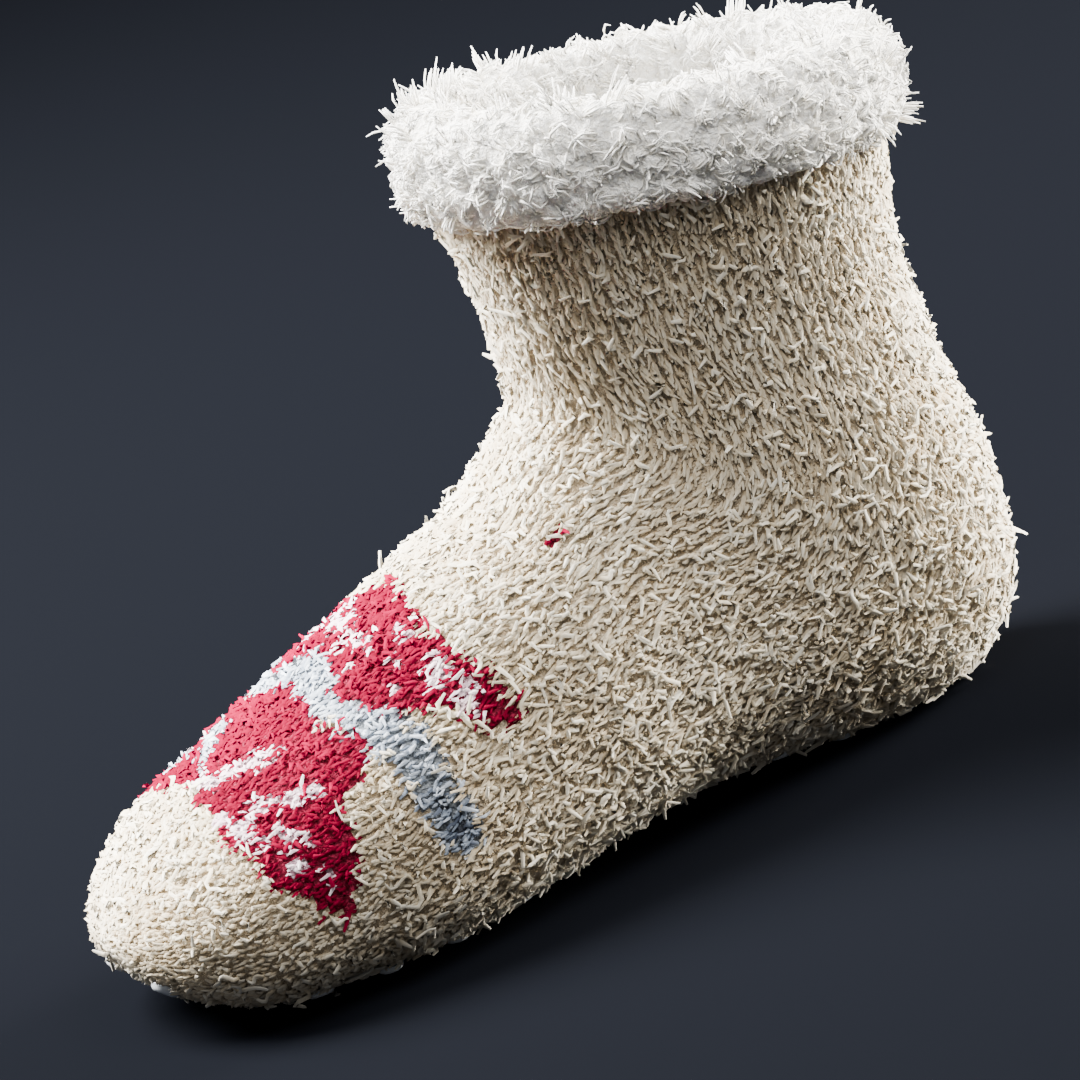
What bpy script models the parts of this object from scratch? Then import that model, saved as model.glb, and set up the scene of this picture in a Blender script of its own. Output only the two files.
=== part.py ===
"""A slipper sock with a fleece cuff, standing empty and open on its grip dots.

Metres, +Z up. +X runs to the toe, +Y to the wearer's left, and the floor is Z = 0. The knit is one hollow wall
lofted through sections: upright ones along the foot, then a fan of them round the heel about the ankle crease,
then level ones up the leg.
"""

import math
import random

import bmesh
import bpy
from mathutils import Matrix, Vector
from mathutils.bvhtree import BVHTree

# Sizes over the knit
FOOT_LENGTH = 0.244
BALL_WIDTH = 0.098
HEEL_WIDTH = 0.078
LEG_WIDTH = 0.080
LEG_DEPTH = 0.100
INSTEP_HEIGHT = 0.100
HEEL_HEIGHT = 0.098
LEG_RISE = 0.052
LEG_HEIGHT = INSTEP_HEIGHT + LEG_RISE
COLLAR_DROP = 0.013
KNIT_WALL = 0.003

# Where the leg and its crease stand, from the heel's back
LEG_CENTRE_AT = 0.058
CREASE_AT = 0.109

# The round end of the toe
TOE_CAP_LENGTH = 0.040
TOE_CAP_RINGS = 7
TOE_TIP_UP = 0.021
TOE_PLAN_ROUND = 2.2
TOE_TOP_ROUND = 1.5
TOE_TOP_CLOSE = 0.75
TOE_SOLE_CLOSE = 0.6

# The fleece cuff
CUFF_HEIGHT = 0.019
CUFF_THICKNESS = 0.0075
CUFF_OVERHANG = 0.004
CUFF_SKIRT = 0.020
CUFF_LIFT = 0.0010
LOCK_SIDES = 5
LOCK_ROOT = 0.0048
LOCK_SINK = 0.003
LOCK_STRAY = 0.001
LOCK_SEED = 11

# The silicone grip dots
DOT_RADIUS = 0.0035
DOT_HEIGHT = 0.0018
DOT_FLAT_RADIUS = 0.0020
DOT_SHOULDER = 0.55
DOT_SIDES = 8
DOT_PITCH = 0.0175
DOT_EDGE_MARGIN = 0.006
SOLE_EDGE_RISE = 0.0050
TOE_DOT_UP = 0.011
TOE_DOT_ASIDE = 0.014

GAP = 0.0003
SIDES = 36
RING_SPACING = 0.0115
SOLE_LEVEL = DOT_HEIGHT + GAP

# Each section runs from a low or back point to a high or front point and is as wide as its width column says.
# Along the foot: lengths in shares of FOOT_LENGTH, heights of INSTEP_HEIGHT, widths of BALL_WIDTH. A sole below
# nought is pressed flat by the floor.
FOOT_COLUMNS = ("sole_at", "sole_up", "ridge_at", "ridge_up", "width", "belly")
FOOT_SECTIONS = {
    "toe_base": (0.836, -0.02, 0.842, 0.500, 0.920, 0.40),
    "ball": (0.722, -0.03, 0.715, 0.625, 1.000, 0.36),
    "tread": (0.615, -0.01, 0.615, 0.725, 0.955, 0.36),
    "waist": (0.500, 0.016, 0.525, 0.815, 0.900, 0.40),
}
# Round the heel: the back line in shares of HEEL_HEIGHT up and of LEG_CENTRE_AT along, the front line as a share of
# the way up from INSTEP_HEIGHT to LEG_HEIGHT, widths of HEEL_WIDTH.
HEEL_COLUMNS = ("back_at", "back_up", "front_at", "front_up", "width", "belly")
HEEL_SECTIONS = {
    "arch": (1.720, 0.022, 0.090, -0.22, 1.060, 0.42),
    "heel_front": (1.300, 0.000, 0.042, -0.12, 1.020, 0.44),
    "heel_middle": (0.860, -0.035, 0.014, -0.05, 1.010, 0.46),
    "heel_turn": (0.480, -0.030, 0.000, -0.01, 1.010, 0.48),
    "heel_corner": (0.210, 0.035, -0.008, 0.02, 1.010, 0.50),
    "heel_low": (0.050, 0.160, -0.012, 0.06, 1.010, 0.50),
    "heel_back": (0.000, 0.370, -0.015, 0.11, 1.000, 0.50),
    "heel_top": (0.030, 0.590, -0.016, 0.18, 0.990, 0.50),
    "tendon": (0.095, 0.790, -0.014, 0.25, 0.985, 0.50),
}
# Up the leg: height as a share of LEG_HEIGHT, half depth and half width as shares of LEG_DEPTH and LEG_WIDTH.
LEG_COLUMNS = ("up", "depth", "width", "drop")
LEG_SECTIONS = {
    "ankle": (0.790, 0.990, 0.990, 1.25),
    "calf": (0.880, 1.020, 1.050, 1.15),
    "hem_line": (0.950, 1.065, 1.120, 1.0),
    "collar": (1.000, 1.085, 1.140, 1.0),
}
BELLY_ROUND = 2.1
SOLE_ROUND = 2.7
LEVEL_BELLY = 0.50
SOLE_BLEND = 0.10

# The cuff's section, from the skirt's foot inside the leg, up and out over the rim, and back down its inner side.
# "up" is in shares of CUFF_HEIGHT above the rim or of CUFF_SKIRT below it, and "out" in shares of CUFF_THICKNESS
# inwards or of CUFF_OVERHANG outwards, both from the clearance line of the knit.
CUFF_COLUMNS = ("up", "out", "side")
CUFF_PROFILE = (
    (-1.00, -0.18, "inside"),
    (-0.75, -0.12, "inside"),
    (-0.50, -0.07, "inside"),
    (-0.25, -0.04, "inside"),
    (0.00, -0.02, "inside"),
    (0.00, 0.12, "outside"),
    (-0.22, 0.12, "outside"),
    (-0.26, 0.55, "outside"),
    (-0.05, 1.00, "outside"),
    (0.35, 1.15, "outside"),
    (0.78, 0.80, "outside"),
    (1.00, 0.00, "outside"),
    (0.92, -0.80, "inside"),
    (0.50, -1.20, "inside"),
    (-0.10, -1.10, "inside"),
    (-0.60, -0.95, "inside"),
    (-1.00, -0.75, "inside"),
)
# Rows of fleece locks: how far up the cuff and out, how many, how long, and the lean from level, in degrees.
LOCK_COLUMNS = ("up", "out", "count", "length", "lean")
LOCK_ROWS = (
    (0.42, 1.00, 24, 0.0052, -34),
    (0.66, 0.90, 26, 0.0050, 12),
    (0.92, -0.20, 24, 0.0052, 62),
)


def clear_scene():
    for thing in list(bpy.data.objects):
        bpy.data.objects.remove(thing, do_unlink=True)


def plain_material(name, colour, roughness):
    material = bpy.data.materials.new(name)
    material.use_nodes = True
    shader = material.node_tree.nodes["Principled BSDF"]
    shader.inputs["Base Color"].default_value = (*colour, 1.0)
    shader.inputs["Roughness"].default_value = roughness
    shader.inputs["Metallic"].default_value = 0.0
    return material


def new_object(name, mesh, material):
    mesh.materials.append(material)
    thing = bpy.data.objects.new(name, mesh)
    bpy.context.scene.collection.objects.link(thing)
    return thing


def named(columns, row):
    return dict(zip(columns, row))


def section(back, front, half_width, belly):
    """A section as (back point, front point, half width, share of the way up where it is widest)."""
    return (Vector((back[0], 0, back[1])), Vector((front[0], 0, front[1])), half_width, belly)


def from_heel(distance):
    """X of a point this far in front of the heel's back, measured from halfway along the foot."""
    return distance - FOOT_LENGTH / 2


def foot_sections():
    found = []
    for row in FOOT_SECTIONS.values():
        r = named(FOOT_COLUMNS, row)
        back = (from_heel(r["sole_at"] * FOOT_LENGTH), SOLE_LEVEL + r["sole_up"] * INSTEP_HEIGHT)
        front = (from_heel(r["ridge_at"] * FOOT_LENGTH), SOLE_LEVEL + r["ridge_up"] * INSTEP_HEIGHT)
        found.append(section(back, front, r["width"] * BALL_WIDTH / 2, r["belly"]))
    return found


def heel_sections():
    found = []
    for row in HEEL_SECTIONS.values():
        r = named(HEEL_COLUMNS, row)
        back = (from_heel(r["back_at"] * LEG_CENTRE_AT), SOLE_LEVEL + r["back_up"] * HEEL_HEIGHT)
        rise = r["front_up"] * LEG_RISE
        front = (from_heel(CREASE_AT * (1 + r["front_at"])), SOLE_LEVEL + INSTEP_HEIGHT + rise)
        found.append(section(back, front, r["width"] * HEEL_WIDTH / 2, r["belly"]))
    return found


def leg_sections():
    found = []
    for row in LEG_SECTIONS.values():
        r = named(LEG_COLUMNS, row)
        half = r["depth"] * LEG_DEPTH / 2
        up = SOLE_LEVEL + r["up"] * LEG_HEIGHT
        back = (from_heel(LEG_CENTRE_AT - half), up - r["drop"] * COLLAR_DROP)
        front = (from_heel(LEG_CENTRE_AT + half), up)
        found.append(section(back, front, r["width"] * LEG_WIDTH / 2, 0.5))
    return found


def toe_sections(base):
    """The round toe cap, from next to the tip back to the toe's base section."""
    back, front, half_width, belly = base
    tip_up = SOLE_LEVEL + TOE_TIP_UP
    found = []
    for i in range(TOE_CAP_RINGS, 0, -1):
        along = math.sin(math.radians(84) * i / TOE_CAP_RINGS)
        plan = 1 - along**TOE_PLAN_ROUND
        x = base[0].x + along * TOE_CAP_LENGTH
        top = tip_up + (front.z - tip_up) * (1 - along**TOE_TOP_ROUND) ** TOE_TOP_CLOSE
        sole = tip_up - (tip_up - back.z) * plan**TOE_SOLE_CLOSE
        found.append(section((x, sole), (x, top), half_width * math.sqrt(plan), belly))
    return found


def blend(a, b, c, d, t):
    """A Catmull-Rom curve from b to c."""
    return 0.5 * (2 * b + (c - a) * t + (2 * a - 5 * b + 4 * c - d) * t**2 + (3 * b - a - 3 * c + d) * t**3)


def between(sections, place):
    """The section at a fractional place in the list, on a smooth curve through it."""
    i = min(int(place), len(sections) - 2)
    four = [sections[max(0, min(len(sections) - 1, i + k))] for k in (-1, 0, 1, 2)]
    return tuple(blend(*(s[k] for s in four), place - i) for k in range(4))


def spaced(sections, spacing):
    """Sections filled in to about this spacing, by whichever end is further from its neighbour."""
    found = [sections[0]]
    for i in range(len(sections) - 1):
        a, b = sections[i], sections[i + 1]
        apart = max((b[0] - a[0]).length, (b[1] - a[1]).length)
        steps = max(1, round(apart / spacing))
        found += [between(sections, i + (k + 1) / steps) for k in range(steps)]
    return found


def section_point(shape, turn, outwards=0.0):
    """A point of a section's outline, from its back or sole at 0 round the +Y side to its front at half a turn."""
    back, front, half_width, belly = shape
    along = (front - back).normalized()
    length = (front - back).length
    c, s = math.cos(turn), math.sin(turn)
    flatter = min(1.0, (LEVEL_BELLY - belly) / SOLE_BLEND) if c > 0 else 0.0
    power = 2 / (BELLY_ROUND + (SOLE_ROUND - BELLY_ROUND) * flatter)
    reach = belly * length if c > 0 else (1 - belly) * length
    wide = math.copysign(abs(s) ** power, s) * (half_width + outwards)
    low = math.copysign(abs(c) ** power, c) * (reach + outwards)
    return back + along * (belly * length - low) + Vector((0, wide, 0))


def outline(shape, sides=SIDES, outwards=0.0):
    return [section_point(shape, math.tau * k / sides, outwards) for k in range(sides)]


def on_floor(point, level=SOLE_LEVEL):
    """The floor presses the sole flat."""
    return Vector((point.x, point.y, max(point.z, level)))


def upper_sections():
    foot = foot_sections()
    body = foot + heel_sections() + leg_sections()
    return toe_sections(foot[0]), spaced(body, RING_SPACING)


def loft(bm, rings):
    """Quads between rings of equal count."""
    rows = [[bm.verts.new(p) for p in ring] for ring in rings]
    for low, high in zip(rows, rows[1:]):
        for k in range(len(low)):
            m = (k + 1) % len(low)
            bm.faces.new((low[k], low[m], high[m], high[k]))
    return rows


def finished_mesh(name, bm):
    bmesh.ops.recalc_face_normals(bm, faces=bm.faces)
    mesh = bpy.data.meshes.new(name)
    bm.to_mesh(mesh)
    bm.free()
    mesh.shade_smooth()
    mesh.set_sharp_from_angle(angle=math.radians(50))
    return mesh


def outer_skin(toe, body):
    bm = bmesh.new()
    rows = loft(bm, [[on_floor(p) for p in outline(s)] for s in toe + body])
    tip = bm.verts.new((from_heel(0) + toe_end_from_heel(body), 0, SOLE_LEVEL + TOE_TIP_UP))
    first = rows[0]
    for k in range(SIDES):
        bm.faces.new((tip, first[(k + 1) % SIDES], first[k]))
    return bm


def toe_end_from_heel(body):
    """How far the toe's tip is in front of the heel's back."""
    return body[0][0].x - from_heel(0) + TOE_CAP_LENGTH


def knit_upper(toe, body, material):
    """The knit, one wall from the toe round the heel to the collar, open at the collar."""
    mesh = finished_mesh("knit_upper", outer_skin(toe, body))
    upper = new_object("knit_upper", mesh, material)
    wall = upper.modifiers.new("wall", "SOLIDIFY")
    wall.thickness = KNIT_WALL
    wall.offset = -1
    wall.use_even_offset = True
    wall.use_rim = True
    return upper


def collar_frame(body):
    """The collar's section and the direction up out of it."""
    collar = body[-1]
    along = (collar[1] - collar[0]).normalized()
    return collar, Vector((-along.z, 0, along.x))


def cuff_outline(body, up, out):
    """The knit's outline a distance above or below the rim, moved out by a distance."""
    collar, rise = collar_frame(body)
    if up >= 0:
        shape = (collar[0] + rise * up, collar[1] + rise * up, collar[2], collar[3])
        return outline(shape, outwards=out)
    here = body[-1]
    for above, below in zip(reversed(body), reversed(body[:-1])):
        depth = -((below[0] + below[1]) / 2 - (collar[0] + collar[1]) / 2).dot(rise)
        depth_above = -((above[0] + above[1]) / 2 - (collar[0] + collar[1]) / 2).dot(rise)
        if depth >= -up:
            t = (-up - depth_above) / (depth - depth_above)
            here = tuple(a + (b - a) * t for a, b in zip(above, below))
            break
    return outline(here, outwards=out)


def cuff_rings(body):
    """The cuff's surface as rings, from the skirt's foot, over the rim and back."""
    rings = []
    for row in CUFF_PROFILE:
        r = named(CUFF_COLUMNS, row)
        up = r["up"] * (CUFF_HEIGHT if r["up"] > 0 else CUFF_SKIRT) + (CUFF_LIFT if r["up"] >= 0 else 0)
        inside = r["side"] == "inside"
        clear = -(KNIT_WALL + GAP) if inside else GAP
        reach = CUFF_THICKNESS if inside else CUFF_OVERHANG
        rings.append(cuff_outline(body, up, clear + r["out"] * reach))
    return rings


def lock(bm, root, heading, side, length, thick, curl):
    """One fleece lock: a tapered, curling body with closed ends."""
    stations = ((0.0, 1.0), (0.55, 0.92), (0.9, 0.5))
    rows = []
    for at, size in stations:
        bent = Matrix.Rotation(curl * at, 3, side) @ heading
        centre = root + bent * (at * length)
        across = bent.cross(side).normalized()
        ring = []
        for k in range(LOCK_SIDES):
            turn = math.tau * k / LOCK_SIDES
            spread = side * math.cos(turn) + across * math.sin(turn)
            ring.append(bm.verts.new(centre + spread * thick * size))
        rows.append(ring)
    tip = bm.verts.new(root + Matrix.Rotation(curl, 3, side) @ heading * length)
    foot = bm.verts.new(root - heading * thick)
    for low, high in zip(rows, rows[1:]):
        for k in range(LOCK_SIDES):
            m = (k + 1) % LOCK_SIDES
            bm.faces.new((low[k], low[m], high[m], high[k]))
    for k in range(LOCK_SIDES):
        m = (k + 1) % LOCK_SIDES
        bm.faces.new((rows[-1][k], rows[-1][m], tip))
        bm.faces.new((rows[0][m], rows[0][k], foot))


def fleece_locks(body):
    """All the locks of the cuff, in rows round it."""
    chance = random.Random(LOCK_SEED)
    rise = collar_frame(body)[1]
    bm = bmesh.new()
    for row in LOCK_ROWS:
        r = named(LOCK_COLUMNS, row)
        for k in range(r["count"]):
            turn = math.tau * (k + chance.uniform(-0.25, 0.25)) / r["count"]
            collar = collar_frame(body)[0]
            up = r["up"] * CUFF_HEIGHT + chance.uniform(-LOCK_STRAY, LOCK_STRAY)
            shape = (collar[0] + rise * up, collar[1] + rise * up, collar[2], collar[3])
            reach = GAP + r["out"] * CUFF_OVERHANG - LOCK_SINK
            root = section_point(shape, turn, reach)
            outwards = (section_point(shape, turn, reach + CUFF_THICKNESS) - root).normalized()
            side = rise.cross(outwards).normalized()
            heading = Matrix.Rotation(-math.radians(r["lean"] + chance.uniform(-10, 10)), 3, side) @ outwards
            length = (r["length"] + LOCK_SINK) * chance.uniform(0.85, 1.15)
            lock(bm, root, heading, side, length, LOCK_ROOT * chance.uniform(0.85, 1.1), chance.uniform(-0.35, 0.35))
    return finished_mesh("fleece_locks", bm)


def fleece_cuff(body, material):
    """The lining's edge, standing above the knit and rolled out over its rim, with its locks fused on."""
    bm = bmesh.new()
    rings = cuff_rings(body)
    rows = loft(bm, rings)
    for k in range(SIDES):
        m = (k + 1) % SIDES
        bm.faces.new((rows[-1][k], rows[-1][m], rows[0][m], rows[0][k]))
    cuff = new_object("fleece_cuff", finished_mesh("fleece_cuff", bm), material)
    locks = new_object("lock_helper", fleece_locks(body), material)
    locks.hide_render = True
    locks.display_type = "WIRE"
    fuse = cuff.modifiers.new("locks", "BOOLEAN")
    fuse.operation = "UNION"
    fuse.solver = "EXACT"
    fuse.use_self = True
    fuse.object = locks
    return cuff


def dot_mesh():
    """A low round dome with a flat top, its base at the origin and its top along +Z."""
    profile = (
        (DOT_RADIUS, 0.0),
        (DOT_RADIUS * 0.97, DOT_HEIGHT * DOT_SHOULDER),
        (DOT_FLAT_RADIUS, DOT_HEIGHT),
    )
    bm = bmesh.new()
    rows = []
    for radius, height in profile:
        turns = [math.tau * k / DOT_SIDES for k in range(DOT_SIDES)]
        rows.append([bm.verts.new((radius * math.cos(t), radius * math.sin(t), height)) for t in turns])
    for low, high in zip(rows, rows[1:]):
        for k in range(DOT_SIDES):
            m = (k + 1) % DOT_SIDES
            bm.faces.new((low[k], low[m], high[m], high[k]))
    bm.faces.new(rows[0])
    bm.faces.new(rows[-1])
    return finished_mesh("grip_dot", bm)


def sole_seats(skin):
    """Where the dots sit on the sole: (point, outward direction), in staggered rows inside the sole's edge."""
    seats = []
    across = DOT_PITCH * math.sqrt(3) / 2
    most = int(FOOT_LENGTH / DOT_PITCH) + 1
    around = ((0, 0), (DOT_EDGE_MARGIN, 0), (-DOT_EDGE_MARGIN, 0), (0, DOT_EDGE_MARGIN), (0, -DOT_EDGE_MARGIN))
    for i in range(-most, most + 1):
        for j in range(-6, 7):
            x = (i + 0.5 * (j % 2)) * DOT_PITCH
            y = j * across
            starts = [Vector((x + dx, y + dy, -FOOT_LENGTH)) for dx, dy in around]
            hits = [skin.ray_cast(start, Vector((0, 0, 1))) for start in starts]
            if all(h[0] is not None and h[0].z < SOLE_LEVEL + SOLE_EDGE_RISE for h in hits):
                seats.append((hits[0][0], hits[0][1]))
    return seats


def toe_seats(skin):
    """The dots that climb the front of the toe."""
    seats = []
    for aside in (-TOE_DOT_ASIDE, TOE_DOT_ASIDE):
        point, normal, _, _ = skin.ray_cast(Vector((FOOT_LENGTH, aside, SOLE_LEVEL + TOE_DOT_UP)), Vector((-1, 0, 0)))
        seats.append((point, normal))
    return seats


def dot_base(skin, point, normal):
    """The centre of a dot's base, clear of the knit all round its edge."""
    base = point + normal * GAP
    side = normal.orthogonal().normalized()
    across = normal.cross(side)
    least = GAP
    for k in range(DOT_SIDES):
        turn = math.tau * k / DOT_SIDES
        edge = base + (side * math.cos(turn) + across * math.sin(turn)) * DOT_RADIUS
        near, outwards, _, _ = skin.find_nearest(edge)
        least = min(least, (edge - near).dot(outwards))
    return base + normal * (GAP - least)


def pressed_level(base, normal):
    """A dot that would reach the floor on one edge is pressed level on it."""
    tilt = math.sqrt(max(0.0, 1 - normal.z**2))
    lowest = base.z + normal.z * DOT_HEIGHT - tilt * DOT_FLAT_RADIUS
    if normal.z < 0 and lowest < DOT_HEIGHT / 4:
        return Vector((base.x, base.y, DOT_HEIGHT)), Vector((0, 0, -1))
    return base, normal


def grip_dots(toe, body, material):
    bm = outer_skin(toe, body)
    bmesh.ops.recalc_face_normals(bm, faces=bm.faces)
    skin = BVHTree.FromBMesh(bm)
    bm.free()
    mesh = dot_mesh()
    mesh.materials.append(material)
    for number, (point, normal) in enumerate(sole_seats(skin) + toe_seats(skin), 1):
        dot = bpy.data.objects.new(f"grip_dot_{number:02d}", mesh)
        bpy.context.scene.collection.objects.link(dot)
        dot.location, normal = pressed_level(dot_base(skin, point, normal), normal)
        dot.rotation_mode = "QUATERNION"
        dot.rotation_quaternion = normal.to_track_quat("Z", "Y")


def centre_lengthwise():
    """Move everything along X so that the origin is halfway along the whole."""
    bpy.context.view_layer.update()
    things = bpy.context.evaluated_depsgraph_get()
    ends = []
    for thing in bpy.data.objects:
        if not thing.hide_render:
            whole = thing.evaluated_get(things)
            ends += [(whole.matrix_world @ Vector(corner)).x for corner in whole.bound_box]
    for thing in bpy.data.objects:
        thing.location.x -= (min(ends) + max(ends)) / 2


def main():
    clear_scene()
    wool = plain_material("beige_knit", (0.62, 0.54, 0.43), 0.95)
    fleece = plain_material("white_fleece", (0.86, 0.85, 0.82), 0.95)
    silicone = plain_material("silicone", (0.78, 0.80, 0.84), 0.35)
    toe, body = upper_sections()
    knit_upper(toe, body, wool)
    fleece_cuff(body, fleece)
    grip_dots(toe, body, silicone)
    centre_lengthwise()


main()
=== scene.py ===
"""Looks for a fuzzy slipper sock with a fleece cuff: pile, pattern, fleece, lining, dots and studio."""

import math

import bpy
import numpy as np
from mathutils import Matrix, Vector


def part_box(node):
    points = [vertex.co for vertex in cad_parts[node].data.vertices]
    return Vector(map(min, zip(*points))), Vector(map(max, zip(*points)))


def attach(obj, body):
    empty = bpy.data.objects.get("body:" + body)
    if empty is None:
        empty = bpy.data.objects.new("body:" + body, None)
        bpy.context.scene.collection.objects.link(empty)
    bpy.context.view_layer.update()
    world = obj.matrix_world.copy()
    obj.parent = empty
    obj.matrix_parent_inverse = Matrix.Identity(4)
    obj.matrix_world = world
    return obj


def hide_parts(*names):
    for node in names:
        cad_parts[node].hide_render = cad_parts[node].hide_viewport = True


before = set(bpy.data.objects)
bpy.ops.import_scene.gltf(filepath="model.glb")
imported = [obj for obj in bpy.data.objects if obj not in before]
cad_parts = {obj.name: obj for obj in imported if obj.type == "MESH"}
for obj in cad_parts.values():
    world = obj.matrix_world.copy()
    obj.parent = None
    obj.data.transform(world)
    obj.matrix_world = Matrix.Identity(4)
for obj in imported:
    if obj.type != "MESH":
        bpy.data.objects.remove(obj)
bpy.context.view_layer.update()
CHANCE = np.random.default_rng(20)

# The knit's form: the same sizes and section tables as the solids have
FOOT_LENGTH = 0.244
BALL_WIDTH = 0.098
HEEL_WIDTH = 0.078
LEG_WIDTH = 0.080
LEG_DEPTH = 0.100
INSTEP_HEIGHT = 0.100
HEEL_HEIGHT = 0.098
LEG_HEIGHT = 0.152
COLLAR_DROP = 0.013
LEG_CENTRE_AT = 0.058
CREASE_AT = 0.109
TOE_CAP_LENGTH = 0.040
TOE_TIP_UP = 0.021
TOE_PLAN_ROUND = 2.2
TOE_TOP_ROUND = 1.5
TOE_TOP_CLOSE = 0.75
TOE_SOLE_CLOSE = 0.6
SOLE_LEVEL = 0.0021
BELLY_ROUND = 2.1
SOLE_ROUND = 2.7
LEVEL_BELLY = 0.50
SOLE_BLEND = 0.10
FOOT_SECTIONS = (
    (0.836, -0.02, 0.842, 0.500, 0.920, 0.40),
    (0.722, -0.03, 0.715, 0.625, 1.000, 0.36),
    (0.615, -0.01, 0.615, 0.725, 0.955, 0.36),
    (0.500, 0.016, 0.525, 0.815, 0.900, 0.40),
)
HEEL_SECTIONS = (
    (1.720, 0.022, 0.090, -0.22, 1.060, 0.42),
    (1.300, 0.000, 0.042, -0.12, 1.020, 0.44),
    (0.860, -0.035, 0.014, -0.05, 1.010, 0.46),
    (0.480, -0.030, 0.000, -0.01, 1.010, 0.48),
    (0.210, 0.035, -0.008, 0.02, 1.010, 0.50),
    (0.050, 0.160, -0.012, 0.06, 1.010, 0.50),
    (0.000, 0.370, -0.015, 0.11, 1.000, 0.50),
    (0.030, 0.590, -0.016, 0.18, 0.990, 0.50),
    (0.095, 0.790, -0.014, 0.25, 0.985, 0.50),
)
LEG_SECTIONS = (
    (0.790, 0.990, 0.990, 1.25),
    (0.880, 1.020, 1.050, 1.15),
    (0.950, 1.065, 1.120, 1.0),
    (1.000, 1.085, 1.140, 1.0),
)

# How finely the form is worked out
AROUND = 216
ALONG_STEP = 0.0022
TOE_RINGS = 26
TOE_LAST_TURN = 88.5
OUTLINE_STEPS = 720

# The knit
WALES = 108
NAP_RELIEF = 0.0003


def sections():
    """Rows of (back x, back z, front x, front z, half width, belly) from the toe's base to the collar."""
    rows = []
    half_foot = FOOT_LENGTH / 2
    for sole_at, sole_up, ridge_at, ridge_up, width, belly in FOOT_SECTIONS:
        rows.append((
            sole_at * FOOT_LENGTH - half_foot, SOLE_LEVEL + sole_up * INSTEP_HEIGHT,
            ridge_at * FOOT_LENGTH - half_foot, SOLE_LEVEL + ridge_up * INSTEP_HEIGHT,
            width * BALL_WIDTH / 2, belly,
        ))
    for back_at, back_up, front_at, front_up, width, belly in HEEL_SECTIONS:
        rise = front_up * (LEG_HEIGHT - INSTEP_HEIGHT)
        rows.append((
            back_at * LEG_CENTRE_AT - half_foot, SOLE_LEVEL + back_up * HEEL_HEIGHT,
            CREASE_AT * (1 + front_at) - half_foot, SOLE_LEVEL + INSTEP_HEIGHT + rise,
            width * HEEL_WIDTH / 2, belly,
        ))
    for up, depth, width, drop in LEG_SECTIONS:
        half = depth * LEG_DEPTH / 2
        level = SOLE_LEVEL + up * LEG_HEIGHT
        rows.append((
            LEG_CENTRE_AT - half - half_foot, level - drop * COLLAR_DROP,
            LEG_CENTRE_AT + half - half_foot, level,
            width * LEG_WIDTH / 2, 0.5,
        ))
    return np.array(rows)


def blend(a, b, c, d, t):
    """A Catmull-Rom curve from b to c."""
    return 0.5 * (2 * b + (c - a) * t + (2 * a - 5 * b + 4 * c - d) * t**2 + (3 * b - a - 3 * c + d) * t**3)


def smooth_rows(rows, step):
    """The section rows filled in on a smooth curve."""
    found = [rows[0]]
    for i in range(len(rows) - 1):
        four = [rows[max(0, min(len(rows) - 1, i + k))] for k in (-1, 0, 1, 2)]
        apart = four[2] - four[1]
        steps = max(2, round(max(math.hypot(*apart[0:2]), math.hypot(*apart[2:4])) / step))
        found += [blend(*four, k / steps) for k in range(1, steps + 1)]
    return np.array(found)


def toe_rows(base):
    """Section rows of the toe cap, from next to the tip back to its base."""
    found = []
    tip_up = SOLE_LEVEL + TOE_TIP_UP
    for i in range(TOE_RINGS, 0, -1):
        along = math.sin(math.radians(TOE_LAST_TURN) * i / TOE_RINGS)
        plan = 1 - along**TOE_PLAN_ROUND
        x = base[0] + along * TOE_CAP_LENGTH
        top = tip_up + (base[3] - tip_up) * (1 - along**TOE_TOP_ROUND) ** TOE_TOP_CLOSE
        sole = tip_up - (tip_up - base[1]) * plan**TOE_SOLE_CLOSE
        found.append((x, sole, x, top, base[4] * math.sqrt(plan), base[5]))
    return np.array(found)


def ring_points(rows, turn, outwards=0.0):
    """Points of each row's outline at these turns: an array of rows, turns and X, Y, Z."""
    back = rows[:, [0, 1]][:, None, :]
    front = rows[:, [2, 3]][:, None, :]
    length = np.linalg.norm(front - back, axis=2, keepdims=True)
    along = (front - back) / length
    half = rows[:, 4][:, None, None]
    belly = rows[:, 5][:, None, None]
    c = np.cos(turn)[None, :, None]
    s = np.sin(turn)[None, :, None]
    flatter = np.where(c > 0, np.minimum(1.0, (LEVEL_BELLY - belly) / SOLE_BLEND), 0.0)
    power = 2 / (BELLY_ROUND + (SOLE_ROUND - BELLY_ROUND) * flatter)
    reach = np.where(c > 0, belly * length, (1 - belly) * length)
    wide = np.sign(s) * np.abs(s) ** power * (half + outwards)
    low = np.sign(c) * np.abs(c) ** power * (reach + outwards)
    flat = back + along * (belly * length - low)
    return np.concatenate([flat[..., :1], wide, flat[..., 1:]], axis=2)


def even_rings(rows, count, outwards=0.0):
    """Rings of evenly spaced points, from the middle of the sole round by +Y."""
    fine = np.linspace(0, 2 * np.pi, OUTLINE_STEPS + 1)
    points = ring_points(rows, fine, outwards)
    steps = np.linalg.norm(np.diff(points, axis=1), axis=2)
    at = np.concatenate([np.zeros((len(rows), 1)), np.cumsum(steps, axis=1)], axis=1)
    rings = np.empty((len(rows), count, 3))
    for i in range(len(rows)):
        wanted = np.linspace(0, at[i, -1], count, endpoint=False)
        for k in range(3):
            rings[i, :, k] = np.interp(wanted, at[i], points[i, :, k])
    return rings


BODY_ROWS = smooth_rows(sections(), ALONG_STEP)
ALL_ROWS = np.concatenate([toe_rows(BODY_ROWS[0]), BODY_ROWS])
OUTER = even_rings(ALL_ROWS, AROUND)
OUTER[..., 2] = np.maximum(OUTER[..., 2], SOLE_LEVEL)
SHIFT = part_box("knit_upper")[0][0] - OUTER[..., 0].min()
OUTER[..., 0] += SHIFT


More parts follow.
